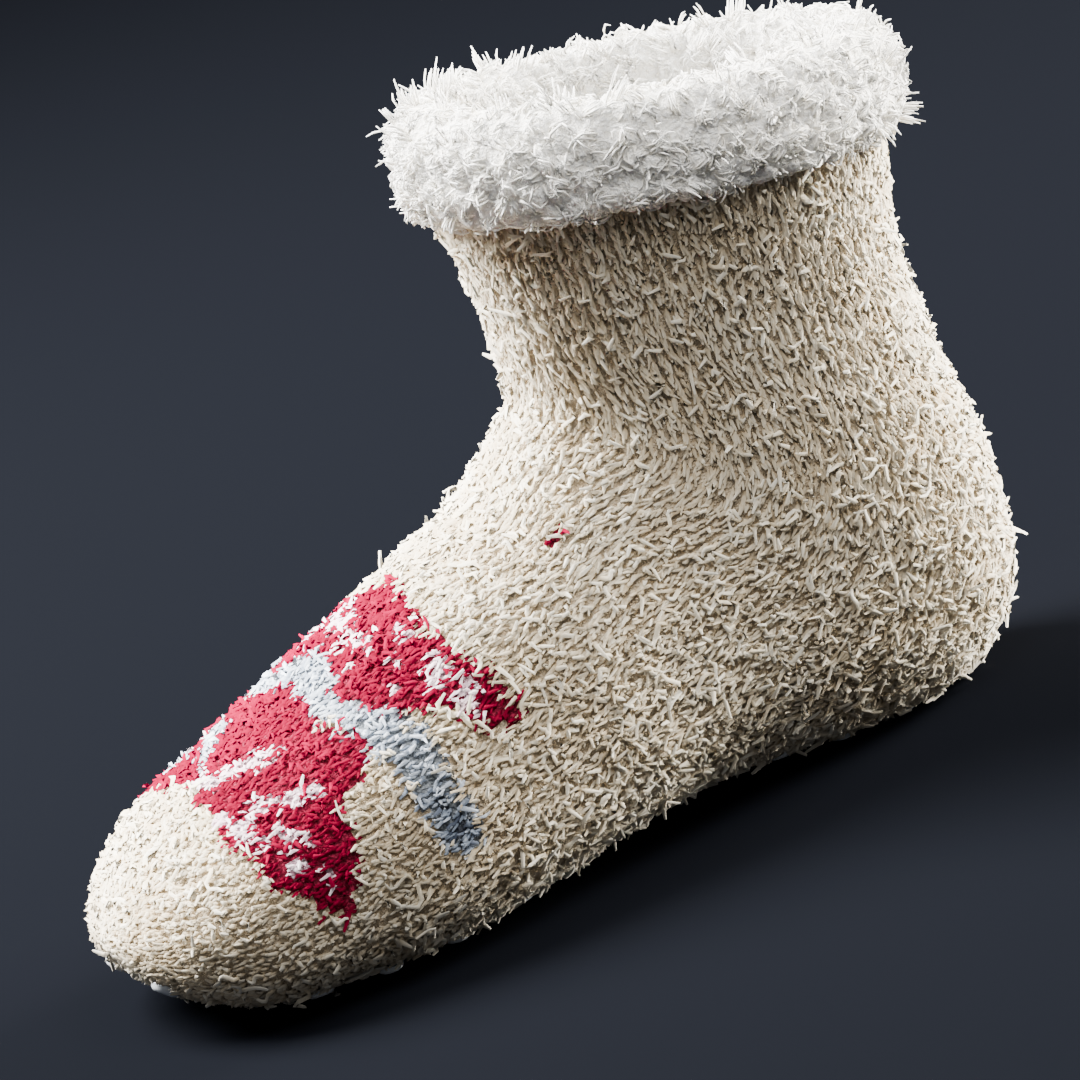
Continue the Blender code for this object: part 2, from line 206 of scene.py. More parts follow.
def unit(v):
    """Vectors at length one."""
    return v / np.maximum(np.linalg.norm(v, axis=-1, keepdims=True), 1e-12)


def grid_normals(grid):
    """Outward unit normals of a closed-round grid."""
    around = np.roll(grid, -1, axis=1) - np.roll(grid, 1, axis=1)
    along = np.gradient(grid, axis=0)
    return unit(np.cross(around, along))


# The ridge line faces up
NORMALS = grid_normals(OUTER)
if NORMALS[len(NORMALS) // 2, AROUND // 2, 2] < 0:
    NORMALS = -NORMALS
ALONG = unit(np.gradient(OUTER, axis=0))


def thinned(grid, ring_step, point_step):
    """Every few rings and points of a grid, with its last ring kept."""
    kept = grid[::ring_step, ::point_step].copy()
    kept[-1] = grid[-1, ::point_step]
    return kept


def grid_faces(index, outwards):
    """Quads of a closed-round grid of vertex numbers."""
    nxt = np.roll(index, -1, axis=1)
    quads = np.stack([index[:-1], nxt[:-1], nxt[1:], index[1:]], axis=-1).reshape(-1, 4)
    return quads if outwards else quads[:, ::-1]


def wall_mesh(name, outer, inner, closed_tip=True):
    """A closed wall between two grids of rings. The outer may have several points to each inner one."""
    out_index = np.arange(outer.shape[0] * outer.shape[1]).reshape(outer.shape[:2])
    in_index = np.arange(inner.shape[0] * inner.shape[1]).reshape(inner.shape[:2]) + out_index.size
    faces = grid_faces(out_index, True).tolist() + grid_faces(in_index, False).tolist()
    verts = np.vstack([outer.reshape(-1, 3), inner.reshape(-1, 3)])
    step = outer.shape[1] // inner.shape[1]

    def rim(out_ring, in_ring):
        found = []
        for k in range(len(in_ring)):
            m = (k + 1) % len(in_ring)
            arc = [out_ring[(k * step + j) % len(out_ring)] for j in range(step + 1)]
            found.append([int(v) for v in arc] + [int(in_ring[m]), int(in_ring[k])])
        return found

    faces += rim(out_index[-1], in_index[-1])
    if closed_tip:
        verts = np.vstack([verts, outer[0].mean(axis=0)[None], inner[0].mean(axis=0)[None]])
        tips = ((out_index[0], len(verts) - 2, False), (in_index[0], len(verts) - 1, True))
        for ring, centre, turned in tips:
            fan = np.stack([np.full(len(ring), centre), np.roll(ring, -1), ring], axis=-1)
            faces += (fan[:, ::-1] if turned else fan).tolist()
    else:
        faces += [face[::-1] for face in rim(out_index[0], in_index[0])]
    mesh = bpy.data.meshes.new(name)
    mesh.from_pydata(verts.tolist(), [], faces)
    mesh.shade_smooth()
    return mesh


def new_piece(name, mesh, material, replaces=()):
    """A piece on the sock's one body, which may stand in for solids."""
    mesh.materials.append(material)
    piece = bpy.data.objects.new(name, mesh)
    bpy.context.scene.collection.objects.link(piece)
    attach(piece, "root")
    if replaces:
        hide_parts(*replaces)
    return piece


# Pile: each tuft is a closed, bent tube of three sides, from a point at its root to a blunt tip
TUFT_SIDES = 3
TUFT_SOFTNESS = 0.65
MAP_MARGIN = 0.02


def tufts_mesh(name, path, radius, tone, out=None):
    """One mesh of bent tufts. path is tufts x stations x 3, radius tufts x (stations - 1), tone one a tuft.

    With out, the way out of the knit at each tuft, the sides are shaded towards it, as soft yarn is.
    """
    tufts, stations = path.shape[:2]
    rings = stations - 1
    sides = TUFT_SIDES
    tangent = path[:, 1:] - path[:, :-1]
    tangent[:, :-1] += tangent[:, 1:].copy()
    tangent = unit(tangent)
    helper = np.where(np.abs(tangent[..., 2:3]) < 0.9, [[[0, 0, 1.0]]], [[[1.0, 0, 0]]])
    side = unit(np.cross(tangent, helper))
    other = np.cross(tangent, side)
    turn = CHANCE.uniform(0, 2 * np.pi, (tufts, 1, 1)) + np.arange(sides)[None, None, :] * 2 * np.pi / sides
    spread = side[:, :, None, :] * np.cos(turn)[..., None] + other[:, :, None, :] * np.sin(turn)[..., None]
    loops = path[:, 1:, None, :] + spread * radius[:, :, None, None]
    per = rings * sides + 1
    verts = np.concatenate([path[:, :1], loops.reshape(tufts, rings * sides, 3)], axis=1)
    cells = []
    for k in range(sides):
        m = (k + 1) % sides
        cells.append((0, 1 + m, 1 + k))
        for j in range(rings - 1):
            a, b = 1 + j * sides + k, 1 + j * sides + m
            c, d = b + sides, a + sides
            cells.append((a, b, c))
            cells.append((a, c, d))
    tip = 1 + (rings - 1) * sides
    cells.append((tip, tip + 1, tip + 2))
    cells = np.array(cells)
    tris = (cells[None] + (np.arange(tufts) * per)[:, None, None]).reshape(-1)
    mesh = bpy.data.meshes.new(name)
    mesh.vertices.add(tufts * per)
    mesh.vertices.foreach_set("co", verts.reshape(-1).astype(np.float32))
    mesh.loops.add(len(tris))
    mesh.loops.foreach_set("vertex_index", tris.astype(np.int32))
    mesh.polygons.add(len(tris) // 3)
    mesh.polygons.foreach_set("loop_start", np.arange(0, len(tris), 3, dtype=np.int32))
    mesh.update(calc_edges=True)
    # The map holds each tuft's tone across and its height from root to tip upwards
    height = np.tile(np.concatenate([[0.0], np.repeat(np.linspace(1 / rings, 1.0, rings), sides)]), tufts)
    tones = np.repeat(np.clip(tone, MAP_MARGIN, 1 - MAP_MARGIN), per)
    uv = mesh.uv_layers.new(name="OFBake")
    pairs = np.stack([tones[tris], MAP_MARGIN + (1 - 2 * MAP_MARGIN) * height[tris]], axis=1)
    uv.data.foreach_set("uv", pairs.reshape(-1).astype(np.float32))
    mesh.shade_smooth()
    if out is not None:
        soft = unit(spread * (1 - TUFT_SOFTNESS) + out[:, None, None, :] * TUFT_SOFTNESS)
        soft = np.concatenate([out[:, None, :], soft.reshape(tufts, rings * sides, 3)], axis=1)
        mesh.normals_split_custom_set_from_vertices(soft.reshape(-1, 3).tolist())
    return mesh


def tuft_material(name, dark, light, root, roughness=0.9, sheen=0.12, shine=0.2):
    """Yarn pile: tone runs across the map from dark to light, and each tuft is tinted darker towards its
    root as painted shade.
    """
    material = bpy.data.materials.new(name)
    material.use_nodes = True
    nodes, links = material.node_tree.nodes, material.node_tree.links
    shader = nodes["Principled BSDF"]
    shader.inputs["Roughness"].default_value = roughness
    shader.inputs["Specular IOR Level"].default_value = shine
    shader.inputs["Sheen Weight"].default_value = sheen
    shader.inputs["Sheen Roughness"].default_value = 0.5
    place = nodes.new("ShaderNodeUVMap")
    place.uv_map = "OFBake"
    split = nodes.new("ShaderNodeSeparateXYZ")
    tone = nodes.new("ShaderNodeMix")
    tone.data_type = "RGBA"
    tone.inputs["A"].default_value = (*dark, 1)
    tone.inputs["B"].default_value = (*light, 1)
    rise = nodes.new("ShaderNodeMapRange")
    rise.inputs["From Min"].default_value = 0.05
    rise.inputs["From Max"].default_value = 0.75
    # Painted shade: the root colour darkens each tuft towards its root, where the pile shades itself
    root_shading = nodes.new("ShaderNodeMix")
    root_shading.data_type = "RGBA"
    root_shading.inputs["A"].default_value = (*root, 1)
    root_shading.inputs["B"].default_value = (1, 1, 1, 1)
    shade = nodes.new("ShaderNodeMix")
    shade.data_type = "RGBA"
    shade.blend_type = "MULTIPLY"
    shade.inputs["Factor"].default_value = 1.0
    links.new(place.outputs["UV"], split.inputs["Vector"])
    links.new(split.outputs["X"], tone.inputs["Factor"])
    links.new(split.outputs["Y"], rise.inputs["Value"])
    links.new(rise.outputs["Result"], root_shading.inputs["Factor"])
    links.new(tone.outputs["Result"], shade.inputs["A"])
    links.new(root_shading.outputs["Result"], shade.inputs["B"])
    links.new(shade.outputs["Result"], shader.inputs["Base Color"])
    return material


NOISE_WAVES = 7
NOISE_LEVEL = 2.6
NOISE_PHASES = 6.28


def patch_noise(points, scale, seed):
    """Smooth values of about -1 to 1 over space, from a few seeded waves."""
    chance = np.random.default_rng(seed)
    total = np.zeros(len(points))
    for _ in range(NOISE_WAVES):
        wave = chance.normal(0, 1, 3)
        wave *= 2 * np.pi / (scale * np.linalg.norm(wave)) * chance.uniform(0.6, 1.6)
        total += np.sin(points @ wave + chance.uniform(0, NOISE_PHASES))
    return total / NOISE_LEVEL


def scatter(grid, count):
    """Evenly spread places on a grid, by area: ring place, and round place from 0 to 1."""
    around = grid.shape[1]
    nxt = np.roll(grid, -1, axis=1)
    a, b, c, d = grid[:-1], nxt[:-1], nxt[1:], grid[1:]
    area = np.linalg.norm(np.cross(c - a, d - b), axis=2) / 2
    reached = np.cumsum(area.reshape(-1))
    wanted = (np.arange(count) + CHANCE.random(count)) / count * reached[-1]
    cell = np.minimum(np.searchsorted(reached, wanted), len(reached) - 1)
    row, column = cell // around, cell % around
    return row + CHANCE.random(count), (column + CHANCE.random(count)) / around


def spread_out(grid, count, spare=6):
    """Places on a grid that keep apart from each other: ring place, and round place from 0 to 1."""
    row, turn = scatter(grid, count * spare)
    point = look_up(grid, row, turn)
    kept = np.zeros(count, int)
    away = np.full(len(point), np.inf)
    for k in range(1, count):
        away = np.minimum(away, np.linalg.norm(point - point[kept[k - 1]], axis=1))
        kept[k] = np.argmax(away)
    return row[kept], turn[kept]


def look_up(grid, row, turn):
    """Bilinear values of a closed-round grid at these ring places and round places."""
    rings, around = grid.shape[:2]
    row = np.clip(row, 0, rings - 1.001)
    column = (turn % 1.0) * around
    i, j = row.astype(int), column.astype(int) % around
    fi, fj = (row - i)[:, None], (column - np.floor(column))[:, None]
    k = (j + 1) % around
    low = grid[i, j] * (1 - fj) + grid[i, k] * fj
    high = grid[i + 1, j] * (1 - fj) + grid[i + 1, k] * fj
    return low * (1 - fi) + high * fi


# The pattern over the instep, charted
RIDGE = OUTER[:, AROUND // 2]
RIDGE_AT = np.concatenate([[0], np.cumsum(np.linalg.norm(np.diff(RIDGE, axis=0), axis=1))])
COURSE = 2.3
BEIGE, RED, PINK, GREY, DARK = "BEIGE", "RED", "PINK", "GREY", "DARK"
# The bands' ends in stitches, and their edges in stitches round from the ridge line and millimetres along it
TOE_BAND_END = 27.6
GREY_BAND_END = 28.6
LEG_BAND_END = 22.2
TOE_BAND_FRONT = ((0, 41), (9, 39), (13, 37), (18, 40), (22, 40), (25, 46), (TOE_BAND_END, 50))
TOE_BAND_BACK = (
    (0, 75), (3, 74), (8.5, 70), (11, 73), (14, 76.5), (16, 74), (17, 68), (18, 61), (21, 61.5), (25, 57.5),
    (TOE_BAND_END, 54),
)
GREY_BAND_FRONT = (
    (0, 75), (3, 74), (6, 71), (9, 72.5), (13, 75), (17, 77), (21, 77.5), (27, 82), (GREY_BAND_END, 86),
)
GREY_BAND_BACK = (
    (0, 86), (3, 85), (6, 79), (9, 80.5), (13, 86), (17, 90), (20, 89), (26, 92), (GREY_BAND_END, 92),
)
LEG_BAND_FRONT = (
    (0, 86), (3, 85), (6, 78.5), (8, 77), (11.7, 83), (14, 88), (17, 97), (19, 100), (21, 106),
    (LEG_BAND_END, 113),
)
LEG_BAND_BACK = ((0, 110), (2, 108), (9, 104), (13, 106), (16.5, 110), (19, 111), (LEG_BAND_END, 114.5))
BANDS = (
    (RED, TOE_BAND_END, TOE_BAND_FRONT, TOE_BAND_BACK),
    (GREY, GREY_BAND_END, GREY_BAND_FRONT, GREY_BAND_BACK),
    (RED, LEG_BAND_END, LEG_BAND_FRONT, LEG_BAND_BACK),
)
# Motifs: middle in stitches and millimetres, half sizes in the same, and the slant in millimetres a stitch
MOTIFS = (
    (PINK, -4.6, 50.0, 3.6, 4.4, -2.6), (PINK, -6.2, 57.5, 1.6, 2.6, 0.0),
    (PINK, -1.2, 43.5, 1.2, 2.4, 0.0), (PINK, -13.5, 41.0, 3.8, 2.4, -0.5),
    (PINK, -12.0, 48.5, 1.2, 2.6, 0.0), (PINK, -13.8, 54.0, 1.6, 3.2, -2.0),
    (PINK, -17.3, 47.5, 2.2, 2.0, 0.0), (PINK, -15.2, 59.5, 1.1, 2.2, 0.0),
    (PINK, -19.0, 52.0, 1.0, 2.4, 0.0), (PINK, -21.2, 46.0, 1.5, 3.4, 0.0),
    (PINK, -23.5, 52.0, 1.2, 1.6, 0.0), (PINK, -10.3, 39.0, 1.4, 2.4, 0.0),
    (PINK, 2.5, 96.0, 4.5, 3.0, 1.0), (PINK, -3.0, 91.5, 2.6, 2.4, -1.0),
    (PINK, -5.6, 85.5, 1.6, 1.2, 0.0), (PINK, -5.0, 96.5, 1.0, 1.2, 0.0),
    (PINK, -9.0, 93.5, 1.0, 1.6, 0.0), (PINK, -11.6, 88.0, 1.0, 1.2, 0.0),
    (PINK, -13.2, 100.0, 2.2, 3.0, 0.8), (PINK, -17.0, 103.0, 2.4, 3.0, 0.8),
    (PINK, -7.0, 100.5, 0.9, 1.4, 0.0), (PINK, 8.5, 92.0, 2.0, 3.4, 0.0),
    (PINK, 12.5, 99.0, 2.6, 2.6, -0.6), (PINK, 16.5, 102.0, 2.0, 2.6, 0.0),
    (GREY, 6.5, 56.0, 5.4, 4.4, 1.6), (GREY, 11.0, 50.0, 3.2, 3.6, 0.0),
    (PINK, 14.0, 58.0, 2.2, 4.0, 1.2), (PINK, 18.5, 49.0, 2.4, 3.0, 0.0),
    (PINK, 22.0, 52.0, 1.4, 3.0, 0.0), (DARK, -23.2, 84.5, 1.6, 1.8, 0.0),
    (DARK, -26.4, 86.5, 1.8, 2.6, 0.0), (DARK, 24.6, 85.5, 2.2, 2.2, 0.0),
    (RED, -11.5, 140.0, 0.7, 1.3, 0.0), (PINK, -12.8, 122.0, 0.6, 1.2, 0.0),
    (RED, -18.0, 92.4, 0.6, 1.2, 0.0),
)
MOTIF_REACH = 1.15


def pattern_place(row, turn):
    """Length along the ridge from the toe's tip, and stitches round from it, negative to the left."""
    at = np.interp(row, np.arange(len(RIDGE_AT)), RIDGE_AT)
    return at, (turn - 0.5) * WALES


def edge(pairs, off):
    return np.interp(off, *zip(*pairs))


def pattern(row, turn):
    """The yarn's colour at each place, in whole stitches."""
    at, off = pattern_place(row, turn)
    at = (np.floor(at * 1000 / COURSE) + 0.5) * COURSE
    off = np.floor(off) + 0.5
    far = np.abs(off)
    colour = np.full(len(row), BEIGE, dtype=object)
    for name, end, front, back in BANDS:
        colour[(far < end) & (at > edge(front, far)) & (at < edge(back, far))] = name
    for name, middle, back, wide, long, slant in MOTIFS:
        away = off - middle
        reach = np.abs(away) / wide + np.abs(at - back - slant * away) / long
        colour[reach < MOTIF_REACH] = name
    return colour


# The camera, fitted to the photograph's view of the sock
VIEW_AZIMUTH = 157.8
VIEW_ELEVATION = 15.8
VIEW_ROLL = -17.1
VIEW_DISTANCE = 1.3
PIXELS_PER_METRE = 4310
VIEW_CENTRE = (498, 514)
VIEW_TARGET = (0.0, 0.0, 0.08)
FRAME_PIXELS = 1080
SENSOR = 36


def add_camera():
    a, e, r = (math.radians(v) for v in (VIEW_AZIMUTH, VIEW_ELEVATION, VIEW_ROLL))
    back = Vector((math.sin(a) * math.cos(e), -math.cos(a) * math.cos(e), math.sin(e)))
    right = Vector((0, 0, 1)).cross(back).normalized()
    up = back.cross(right)
    right, up = right * math.cos(r) + up * math.sin(r), up * math.cos(r) - right * math.sin(r)
    across = (FRAME_PIXELS / 2 - VIEW_CENTRE[0]) / PIXELS_PER_METRE
    down = (FRAME_PIXELS / 2 - VIEW_CENTRE[1]) / PIXELS_PER_METRE
    place = Vector(VIEW_TARGET) + Vector((SHIFT, 0, 0)) + right * across - up * down + back * VIEW_DISTANCE
    lens = bpy.data.cameras.new("view")
    lens.sensor_width = SENSOR
    lens.sensor_height = SENSOR
    lens.sensor_fit = "HORIZONTAL"
    lens.lens = SENSOR * VIEW_DISTANCE * PIXELS_PER_METRE / FRAME_PIXELS
    camera = bpy.data.objects.new("view", lens)
    turned = Matrix((right, up, back)).transposed()
    camera.matrix_world = Matrix.Translation(place) @ turned.to_4x4()
    bpy.context.scene.collection.objects.link(camera)
    bpy.context.scene.camera = camera
    return right, up, back


def soft_light(name, place, aim, size, power, colour):
    light = bpy.data.lights.new(name, "AREA")
    light.shape = "RECTANGLE"
    light.size, light.size_y = size
    light.energy = power
    light.color = colour
    lamp = bpy.data.objects.new(name, light)
    lamp.location = place
    lamp.rotation_euler = (Vector(aim) - place).to_track_quat("-Z", "Y").to_euler()
    bpy.context.scene.collection.objects.link(lamp)


# Lamps: what they aim at, metres right, up and towards the camera from there, size, watts and colour
BODY_AIM = (0, 0, 0.07)
LEG_AIM = (-0.06, 0, 0.15)
LAMPS = (
    ("left", BODY_AIM, (-1.15, 0.90, -0.18), (0.7, 1.1), 310, (1.0, 0.985, 0.95)),
    ("right", BODY_AIM, (1.28, 0.64, -0.53), (0.7, 1.3), 450, (1.0, 0.96, 0.88)),
    ("front", LEG_AIM, (0, 0.34, 0.38), (0.3, 0.3), 3.9, (1.0, 0.985, 0.96)),
)
WORLD_COLOUR = (0.90, 0.90, 0.90, 1)
WORLD_STRENGTH = 0.28
FLOOR_CORNERS = ((-4, -4), (4, -4), (4, 4), (-4, 4))
FLOOR_LEVEL = -0.0003
FLOOR_COLOUR = (0.0030, 0.0034, 0.0048, 1)


def add_studio():
    right, up, back = add_camera()
    world = bpy.data.worlds.new("studio")
    world.use_nodes = True
    world.node_tree.nodes["Background"].inputs["Color"].default_value = WORLD_COLOUR
    world.node_tree.nodes["Background"].inputs["Strength"].default_value = WORLD_STRENGTH
    bpy.context.scene.world = world
    for name, aim, (aside, above, nearer), size, power, colour in LAMPS:
        place = Vector(aim) + right * aside + up * above + back * nearer
        soft_light(name, place, aim, size, power, colour)
    floor = bpy.data.meshes.new("floor")
    corners = [(x, y, FLOOR_LEVEL) for x, y in FLOOR_CORNERS]
    floor.from_pydata(corners, [], [(0, 1, 2, 3)])
    paint = bpy.data.materials.new("floor")
    paint.use_nodes = True
    shader = paint.node_tree.nodes["Principled BSDF"]
    shader.inputs["Base Color"].default_value = FLOOR_COLOUR
    shader.inputs["Roughness"].default_value = 0.6
    shader.inputs["Specular IOR Level"].default_value = 0.0
    floor.materials.append(paint)
    ground = bpy.data.objects.new("floor", floor)
    bpy.context.scene.collection.objects.link(ground)


def fabric(name, dark, light, scale, bump=0.4, roughness=0.95):
    """A napped ground: two tones in soft patches, with a fine nap in the relief."""
    paint = bpy.data.materials.new(name)
    paint.use_nodes = True
    nodes, links = paint.node_tree.nodes, paint.node_tree.links
    shader = nodes["Principled BSDF"]
    shader.inputs["Roughness"].default_value = roughness
    shader.inputs["Specular IOR Level"].default_value = 0.1
    place = nodes.new("ShaderNodeTexCoord")
    noise = nodes.new("ShaderNodeTexNoise")
    noise.inputs["Scale"].default_value = scale
    noise.inputs["Detail"].default_value = 4
    sharper = nodes.new("ShaderNodeMapRange")
    sharper.inputs["From Min"].default_value = 0.35
    sharper.inputs["From Max"].default_value = 0.65
    tone = nodes.new("ShaderNodeMix")
    tone.data_type = "RGBA"
    tone.inputs["A"].default_value = (*dark, 1)
    tone.inputs["B"].default_value = (*light, 1)
    relief = nodes.new("ShaderNodeBump")
    relief.inputs["Strength"].default_value = bump
    relief.inputs["Distance"].default_value = 0.0006
    links.new(place.outputs["Object"], noise.inputs["Vector"])
    links.new(noise.outputs["Fac"], sharper.inputs["Value"])
    links.new(sharper.outputs["Result"], tone.inputs["Factor"])
    links.new(sharper.outputs["Result"], relief.inputs["Height"])
    links.new(tone.outputs["Result"], shader.inputs["Base Color"])
    links.new(relief.outputs["Normal"], shader.inputs["Normal"])
    return paint


# Dark and light tone of the ground under each yarn, mostly darker than its pile as painted shade in the gaps
# between the tufts
SHADED_GROUNDS = {
    BEIGE: ((0.50, 0.38, 0.245), (0.76, 0.64, 0.47)),
    RED: ((0.12, 0.008, 0.02), (0.46, 0.025, 0.08)),
    PINK: ((0.60, 0.34, 0.42), (0.88, 0.72, 0.78)),
    GREY: ((0.14, 0.155, 0.175), (0.48, 0.52, 0.56)),
    DARK: ((0.05, 0.055, 0.07), (0.12, 0.13, 0.16)),
}
GROUND_SINK = 0.0002
GROUND_THICK = 0.0018
GROUND_GRAIN = 1300
GROUND_NAP = 0.006
LINING_BACK = 0.0019
LINING_FACE = 0.0036
LINING_RELIEF = 0.0004
LINING_NAP = 0.007
LINING_GRAIN = 300


def knit_ground():
    """The knit's ground under the pile, in the pattern's colours, mostly darkened as painted shade between
    the tufts.
    """
    grid, normals = OUTER[:, ::2], NORMALS[:, ::2]
    nap = patch_noise(grid.reshape(-1, 3), GROUND_NAP, seed=8).reshape(len(grid), WALES, 1)
    outer = grid + normals * (NAP_RELIEF * nap - GROUND_SINK)
    outer[..., 2] = np.maximum(outer[..., 2], SOLE_LEVEL - 2 * GROUND_SINK)
    inner = thinned(grid, 3, 2) - thinned(normals, 3, 2) * GROUND_THICK
    ground = wall_mesh("knit_ground", outer, inner)
    row = np.arange(len(grid) - 1) + 0.5
    row, place = np.meshgrid(row, (np.arange(WALES) + 0.5) / WALES, indexing="ij")
    colour = pattern(row.reshape(-1), place.reshape(-1))
    order = list(SHADED_GROUNDS)
    chosen = np.zeros(len(ground.polygons), np.int32)
    chosen[:len(colour)] = [order.index(c) for c in colour]
    paints = [fabric("ground_" + name.lower(), *SHADED_GROUNDS[name], GROUND_GRAIN, bump=1.0) for name in order]
    piece = new_piece("knit_ground", ground, paints[0], replaces=("knit_upper",))
    for paint in paints[1:]:
        ground.materials.append(paint)
    ground.polygons.foreach_set("material_index", chosen)
    piece.data.update()


def lining_ground():
    """The fleece lining's ground inside the knit."""
    outer, normals = thinned(OUTER, 3, 4), thinned(NORMALS, 3, 4)
    rough = patch_noise(outer.reshape(-1, 3), LINING_NAP, seed=9).reshape(outer.shape[:2])[..., None]
    face = outer - normals * (LINING_FACE + LINING_RELIEF * rough)
    lining = wall_mesh("lining_ground", outer - normals * LINING_BACK, face)
    white = fabric("lining_ground", (0.66, 0.64, 0.60), (0.84, 0.83, 0.80), LINING_GRAIN)
    new_piece("lining_ground", lining, white)


COLLAR_ROWS = 20


def collar_grid(profile, count):
    """Rings round the collar. Each profile point is metres above the rim and out from the knit's outline."""
    last = BODY_ROWS[-1]
    lean = np.array([last[2] - last[0], last[3] - last[1]])
    lean /= np.linalg.norm(lean)
    rise = np.array([-lean[1], lean[0]])
    middles = (BODY_ROWS[:, [0, 1]] + BODY_ROWS[:, [2, 3]]) / 2
    below = np.linalg.norm(middles - middles[-1], axis=1)[::-1][:COLLAR_ROWS]
    near = BODY_ROWS[::-1][:COLLAR_ROWS]
    rings = []
    for up, out in profile:
        if up < 0:
            row = np.array([np.interp(-up, below, column) for column in near.T])
        else:
            row = last.copy()
            row[0:2] += rise * up
            row[2:4] += rise * up
        ring = even_rings(row[None], count, out)[0]
        ring[:, 0] += SHIFT
        rings.append(ring)
    return np.array(rings), np.array([rise[0], 0, rise[1]])


# The cuff's roll, from under its outer edge over the top and down inside
CUFF_SHAPE = (
    (-0.0030, -0.0002), (-0.0040, 0.0010), (-0.0036, 0.0024), (-0.0008, 0.0033), (0.0030, 0.0038),
    (0.0075, 0.0040), (0.0118, 0.0036), (0.0152, 0.0022), (0.0174, 0.0000), (0.0178, -0.0034),
    (0.0166, -0.0066), (0.0130, -0.0090), (0.0080, -0.0100), (0.0020, -0.0100), (-0.0040, -0.0096),
    (-0.0100, -0.0088), (-0.0150, -0.0078),
)


# Strands of fleece curl from the foot of a clump up over it, thinner at the tip
STRAND_STATIONS = (0.0, 0.38, 0.72, 1.0)
STRAND_TAPER = (1.0, 1.0, 0.5)
STRAND_START = 1.65
STRAND_CRIMP = 0.00025


def fleece_material(name, dark, light):
    # The warm root tint is painted shade deep in the fleece
    return tuft_material(name, dark, light, root=(0.90, 0.85, 0.75), roughness=0.85, sheen=0.3)


def puffs(grid, normals, places, strands, wide, high, thick, lean=(0, 0, 0), stray=0.0010):
    """Fleece in round clumps at these places, of strands that curl up over each: paths, radii and tones."""
    row, turn = places
    count = len(row)
    middle = look_up(grid, row, turn)
    out = unit(look_up(normals, row, turn))
    tilt = CHANCE.normal(0, 0.28, (count, 3))
    pole = unit(out + tilt + np.asarray(lean) * CHANCE.uniform(0.2, 1.0, (count, 1)))
    side = unit(np.cross(pole, CHANCE.normal(0, 1, (count, 3))))
    other = np.cross(pole, side)
    size = CHANCE.uniform(0.85, 1.15, (count, 1))
    twist = CHANCE.uniform(-1.6, 1.6, count)
    total = count * strands
    pick = np.repeat(np.arange(count), strands)
    first = CHANCE.uniform(0, 2 * np.pi, total)
    depth = CHANCE.uniform(0.90, 1.10, total)
    top = CHANCE.uniform(-0.3, 0.6, total)
    loose = np.abs(CHANCE.normal(0, 1, (total, 1))) * stray
    stations = []
    for at in STRAND_STATIONS:
        polar = STRAND_START * (1 - at) + top * at
        round_at = first + twist[pick] * at
        across = wide * depth * np.sin(polar)
        up = high * depth * np.cos(polar)
        point = middle[pick] + size[pick] * (
            side[pick] * (across * np.cos(round_at))[:, None]
            + other[pick] * (across * np.sin(round_at))[:, None]
            + pole[pick] * up[:, None]
        )
        point += CHANCE.normal(0, STRAND_CRIMP, (total, 3)) * (0.4 + at)
        point += (pole[pick] + CHANCE.normal(0, 0.5, (total, 3))) * loose * at**2
        stations.append(point)
    path = np.stack(stations, axis=1)
    radius = np.stack([np.full(total, thick * share) for share in STRAND_TAPER], axis=1)
    radius *= CHANCE.uniform(0.75, 1.25, total)[:, None]
    tone = 0.60 + 0.12 * CHANCE.normal(0, 1, count)[pick] + 0.10 * CHANCE.normal(0, 1, total)
    return path, radius, tone


CREASE_SHARE = 0.35
DOME_SHARE = 1.5
CURD_RELIEF = 0.00035
CURD_SIZE = 0.0030
GRAIN_RELIEF = 0.0002
GRAIN_SIZE = 0.0014


def clumps(grid, normals, places, wide, high):
    """The grid raised in a round clump at each place, with a crease where clumps meet."""
    seeds = look_up(grid, *places)
    lift = np.empty(grid.shape[:2])
    for i, ring in enumerate(grid):
        away = np.linalg.norm(ring[:, None, :] - seeds[None], axis=2)
        away.sort(axis=1)
        crease = np.clip((away[:, 1] - away[:, 0]) / (CREASE_SHARE * wide), 0, 1)
        dome = np.sqrt(np.clip(1 - (away[:, 0] / (DOME_SHARE * wide)) ** 2, 0, 1))
        lift[i] = high * dome * (0.55 + 0.45 * crease**0.5)
    points = grid.reshape(-1, 3)
    fine = CURD_RELIEF * patch_noise(points, CURD_SIZE, seed=5)
    fine = fine + GRAIN_RELIEF * patch_noise(points, GRAIN_SIZE, seed=6)
    return grid + normals * (lift + fine.reshape(lift.shape))[..., None]


LOCKS = 240
LOCK_STRANDS = 14
LOCK_SHORT = 0.0032
LOCK_LONG = 0.0054
LOCK_RINGS = (3, 46)
# Share of the length, metres apart and share of the curl at each station from root to tip
LOCK_STATIONS = ((0.0, 0.0010, 0.0), (0.35, 0.0012, 0.1), (0.65, 0.0014, 0.5), (0.8, 0.0015, 1.1))
LOCK_RADII = (0.00028, 0.00030, 0.00016)


